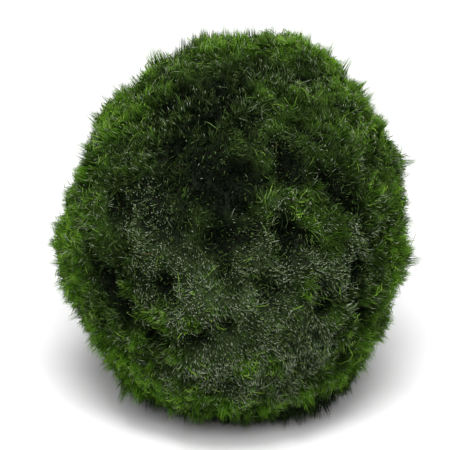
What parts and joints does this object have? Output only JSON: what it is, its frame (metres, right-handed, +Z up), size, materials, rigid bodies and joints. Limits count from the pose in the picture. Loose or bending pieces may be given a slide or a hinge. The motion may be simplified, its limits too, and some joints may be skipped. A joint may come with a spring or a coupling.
{
  "type": "marimo moss ball",
  "caption": "Slightly egg-shaped ball of fine felted green algae threads, lumpy and softly folded, resting on a small flat spot.",
  "frame": {"origin": "on the surface it rests on, under the middle of the ball's box", "axes": "+Z up, front (the flat-matted side) towards -Y, +X to the right seen from the front"},
  "size_m": [0.05, 0.049, 0.0555],
  "materials": {
    "moss": "felted fine green threads, wet and slightly glossy, dark between the tufts and yellow-green at the tips"
  },
  "bodies": {
    "root": {"moss_ball": "moss"}
  },
  "joints": []
}
